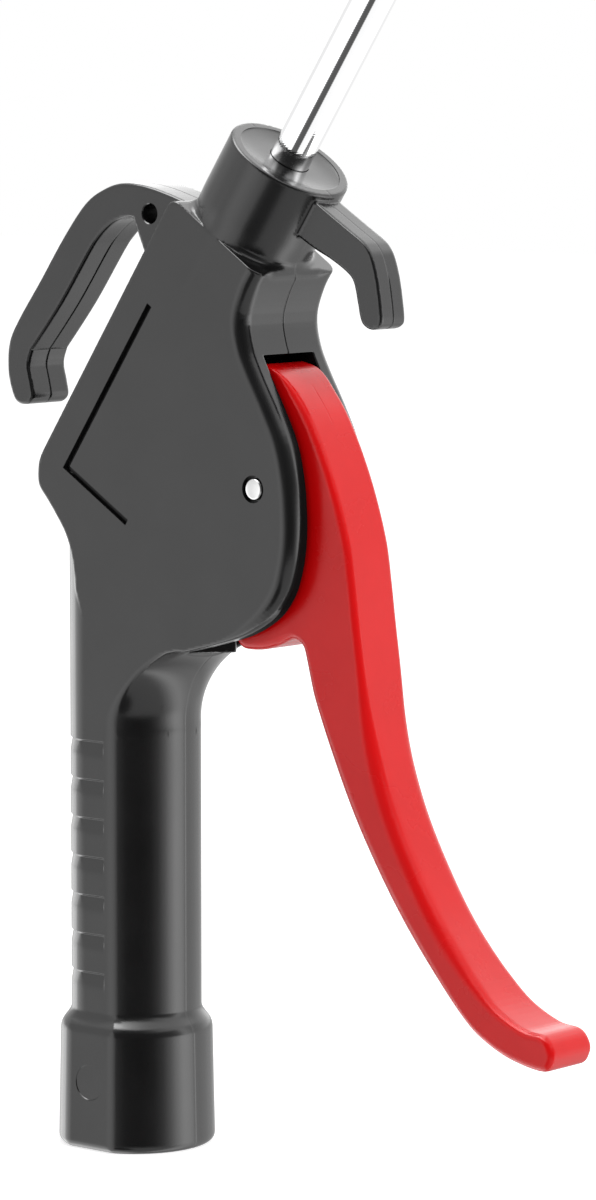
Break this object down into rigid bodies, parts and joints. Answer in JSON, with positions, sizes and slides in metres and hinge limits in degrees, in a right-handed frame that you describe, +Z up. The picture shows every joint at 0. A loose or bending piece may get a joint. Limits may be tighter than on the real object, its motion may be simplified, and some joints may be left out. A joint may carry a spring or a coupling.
{
  "type": "air blow gun",
  "caption": "Air blow gun: moulded body with hanging hook and finger hook, red squeeze lever on a cross pin, spring-loaded poppet valve and a tilted chromed nozzle tube.",
  "frame": {"origin": "centre of the inlet face, on the bottom of the handle's base", "axes": "+Z up along the handle, +X towards the lever and the nozzle's lean, +Y to the far side; the middle plane is Y = 0"},
  "size_m": [0.1142, 0.0232, 0.2442],
  "materials": {
    "body_plastic": "satin moulded",
    "lever_plastic": "satin moulded",
    "tube_chrome": "polished",
    "pin_steel": "ground",
    "stem_steel": "ground",
    "spring_steel": "drawn wire",
    "cage_plastic": "moulded",
    "brass": "machined",
    "seal_rubber": "moulded"
  },
  "bodies": {
    "housing": {"body": "body_plastic", "inlet_insert": "brass", "inlet_oring": "seal_rubber", "valve_spring": "spring_steel", "valve_seat": "brass", "seat_oring": "seal_rubber", "valve_cage": "cage_plastic", "stem_washer": "brass", "stem_oring": "seal_rubber", "gland_oring": "seal_rubber", "gland_nut": "brass", "lever_pin": "pin_steel", "nozzle_insert": "brass", "nozzle_oring": "seal_rubber", "nozzle_tube": "tube_chrome"},
    "stem": {"valve_stem": "stem_steel", "poppet_seal": "seal_rubber", "poppet_cup": "brass", "poppet_nut": "brass"},
    "lever": {"lever": "lever_plastic"}
  },
  "joints": [
    {"name": "lever_hinge", "type": "hinge", "parent": "housing", "child": "lever", "pos_m": [0.03351, 0, 0.1092], "axis": [0, 1, 0], "range_deg": [0, 18], "stiffness_Nm_per_rad": 0.2, "springref_deg": -14.32},
    {"name": "stem_slide", "type": "slide", "parent": "housing", "child": "stem", "axis": [-1, 0, 0], "range_m": [0, 0.00325], "deforming": ["valve_spring"]}
  ],
  "couplings": [
    {"joint": "stem_slide", "follows": "lever_hinge", "m_per_rad": 0.0102}
  ]
}
